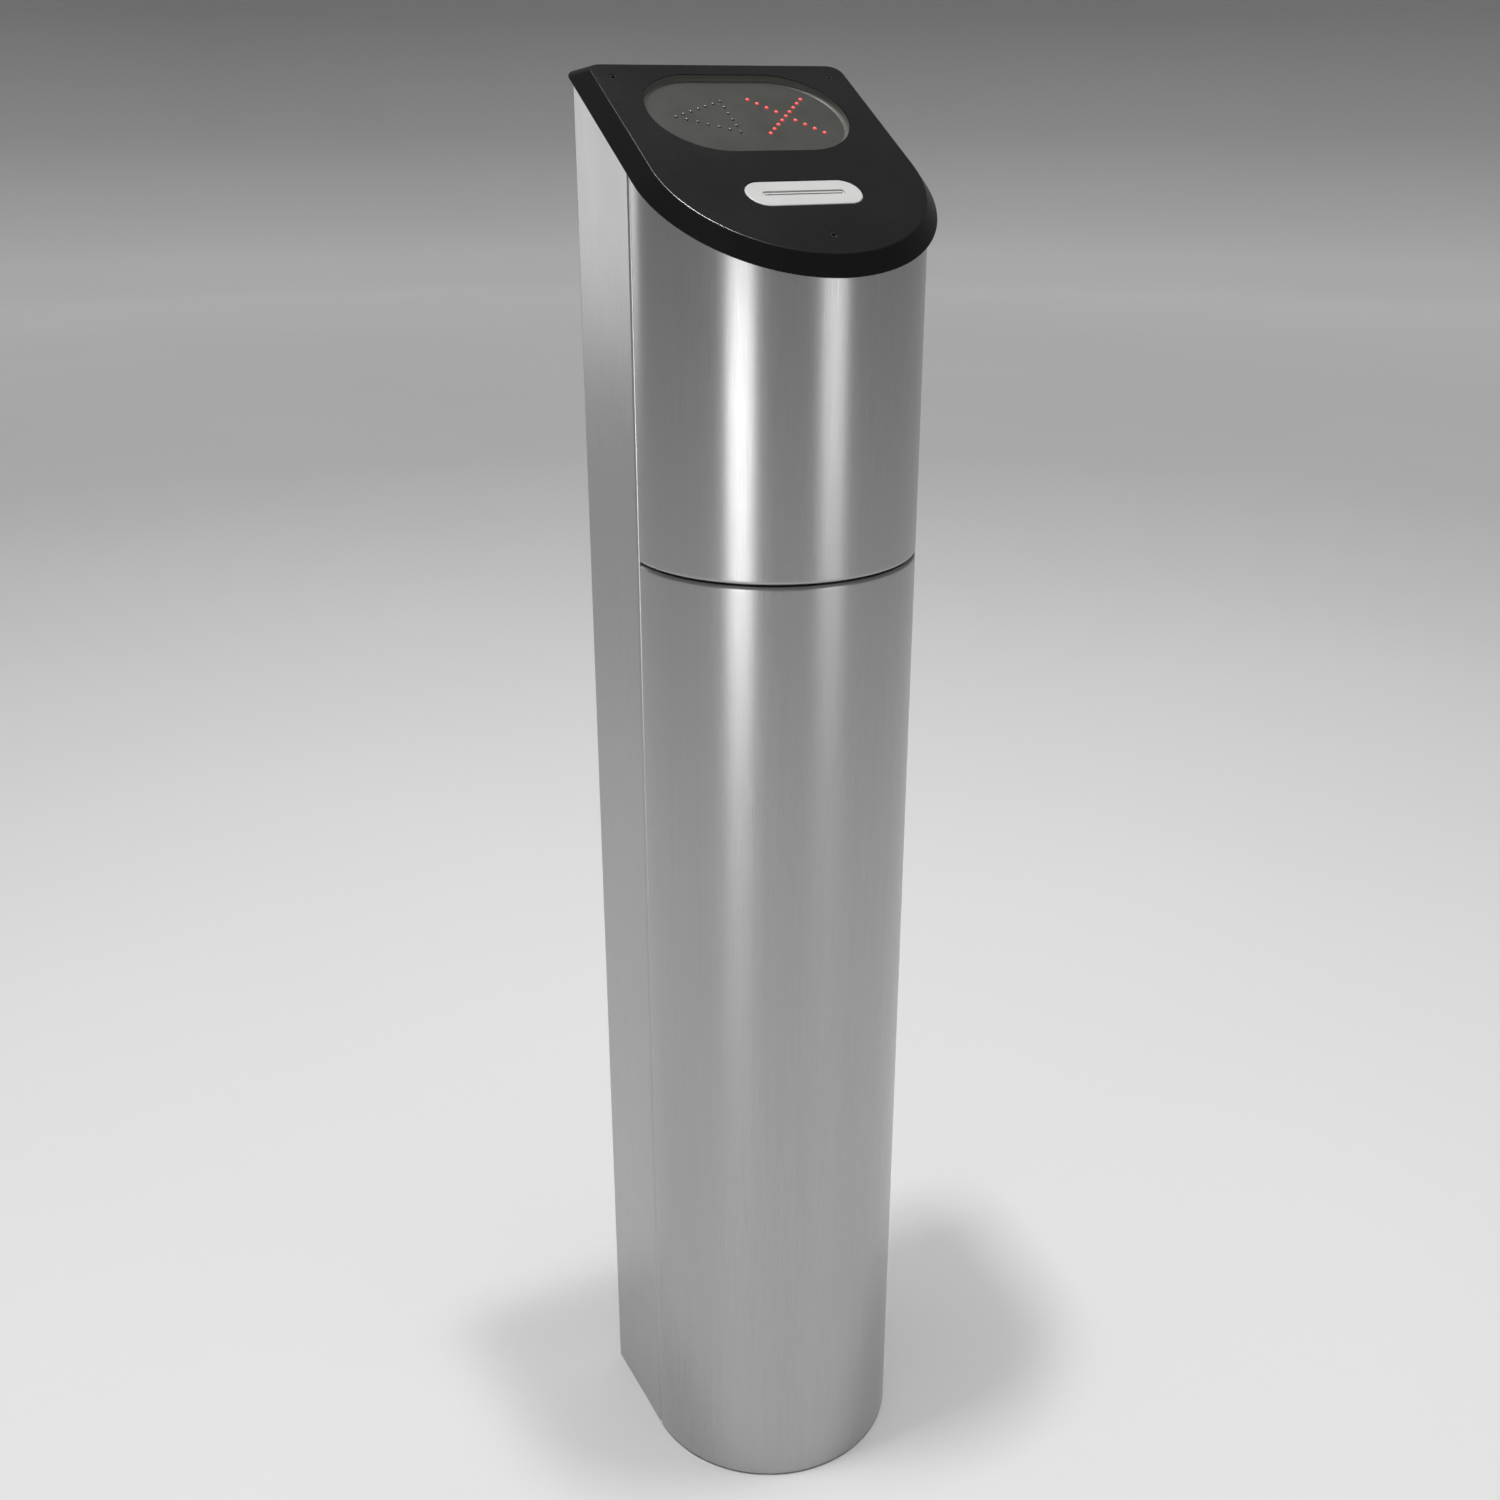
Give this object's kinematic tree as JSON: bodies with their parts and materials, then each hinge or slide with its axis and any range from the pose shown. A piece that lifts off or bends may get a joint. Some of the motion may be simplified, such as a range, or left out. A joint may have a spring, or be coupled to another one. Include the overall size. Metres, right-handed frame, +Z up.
{
  "type": "reader and display post",
  "caption": "Free-standing stainless steel post with a half-round front and a sloping black cap that holds a sunk light display and a card slot, for a visitor lane.",
  "frame": {"origin": "centre of the four floor anchors, on the floor, which is also the centre of the half-round front", "axes": "+Z up, the half-round front faces -Y, and +X is on the right of a person who stands before the front and looks at it"},
  "size_m": [0.207, 0.2001, 1.0622],
  "materials": {
    "brushed_stainless": "vertical brush lines, satin",
    "black_cap": "fine satin black powder coat",
    "zinc_steel": "bright zinc plate",
    "galvanised_steel": "galvanised",
    "base_steel": "dark primer",
    "black_rubber": "matt",
    "brass": "turned",
    "smoked_window": "smoked, satin",
    "circuit_board": "green solder mask",
    "component_plastic": "moulded black",
    "red_light": "lit red lens",
    "unlit_light": "unlit smoked lens",
    "pale_plastic": "pale grey moulding",
    "gear_plastic": "natural acetal",
    "guide_plastic": "dark moulding",
    "terminal_plastic": "grey moulding",
    "black_screw": "black oxide"
  },
  "bodies": {
    "post": {"base_plate": "base_steel", "floor_grommet": "black_rubber", "earth_stud": "brass", "left_upright": "galvanised_steel", "right_upright": "galvanised_steel", "lower_crossbar": "galvanised_steel", "upper_crossbar": "galvanised_steel", "top_deck": "galvanised_steel", "deck_inserts": "brass", "rear_housing": "brushed_stainless", "upper_front_cover": "brushed_stainless", "cover_screws": "zinc_steel", "cover_spacers": "zinc_steel", "stud_grommets": "black_rubber", "equipment_plate": "galvanised_steel", "plate_screws": "zinc_steel", "power_supply": "zinc_steel", "mounting_rail": "zinc_steel", "terminals": "terminal_plastic", "controller_board": "circuit_board", "controller_parts": "component_plastic", "board_pillars": "brass", "cap_gasket": "black_rubber"},
    "lower_cover": {"lower_front_cover": "brushed_stainless", "cover_studs": "zinc_steel"},
    "cap": {"top_cover": "black_cap", "cap_screws": "black_screw", "display_window": "smoked_window", "display_board": "circuit_board", "display_pillars": "brass", "stop_cross_lights": "red_light", "pass_arrow_lights": "unlit_light", "card_slot_bezel": "pale_plastic", "reader_chassis": "zinc_steel", "reader_screws": "zinc_steel", "card_guides": "guide_plastic", "shaft_bushes": "brass", "reader_motor": "zinc_steel", "read_head": "zinc_steel", "reader_board": "circuit_board", "reader_spacers": "brass"},
    "drive_roller": {"drive_shaft": "zinc_steel", "drive_tyres": "black_rubber", "drive_gear": "gear_plastic"},
    "idler_roller": {"idler_shaft": "zinc_steel", "idler_tyres": "black_rubber"},
    "pinion": {"motor_pinion": "brass"},
    "shutter": {"slot_shutter": "pale_plastic"}
  },
  "joints": [
    {"name": "lower_cover_pull", "type": "slide", "parent": "post", "child": "lower_cover", "axis": [0, -1, 0], "range_m": [0, 0.15]},
    {"name": "cap_lift", "type": "slide", "parent": "post", "child": "cap", "axis": [0, -0.5075, 0.8616], "range_m": [0, 0.12]},
    {"name": "drive_spin", "type": "hinge", "parent": "cap", "child": "drive_roller", "pos_m": [0, -0.01566, 0.95596], "axis": [1, 0, 0], "continuous": true},
    {"name": "idler_spin", "type": "hinge", "parent": "cap", "child": "idler_roller", "pos_m": [0, -0.02626, 0.94971], "axis": [1, 0, 0], "continuous": true},
    {"name": "pinion_spin", "type": "hinge", "parent": "cap", "child": "pinion", "pos_m": [0, 0.00009, 0.94704], "axis": [1, 0, 0], "continuous": true},
    {"name": "shutter_swing", "type": "hinge", "parent": "cap", "child": "shutter", "pos_m": [0, -0.03652, 0.98615], "axis": [1, 0, 0], "range_deg": [0, 65], "stiffness_Nm_per_rad": 0.002, "springref_deg": -11.46}
  ],
  "couplings": [
    {"joint": "pinion_spin", "follows": "drive_spin", "ratio": -2}
  ]
}
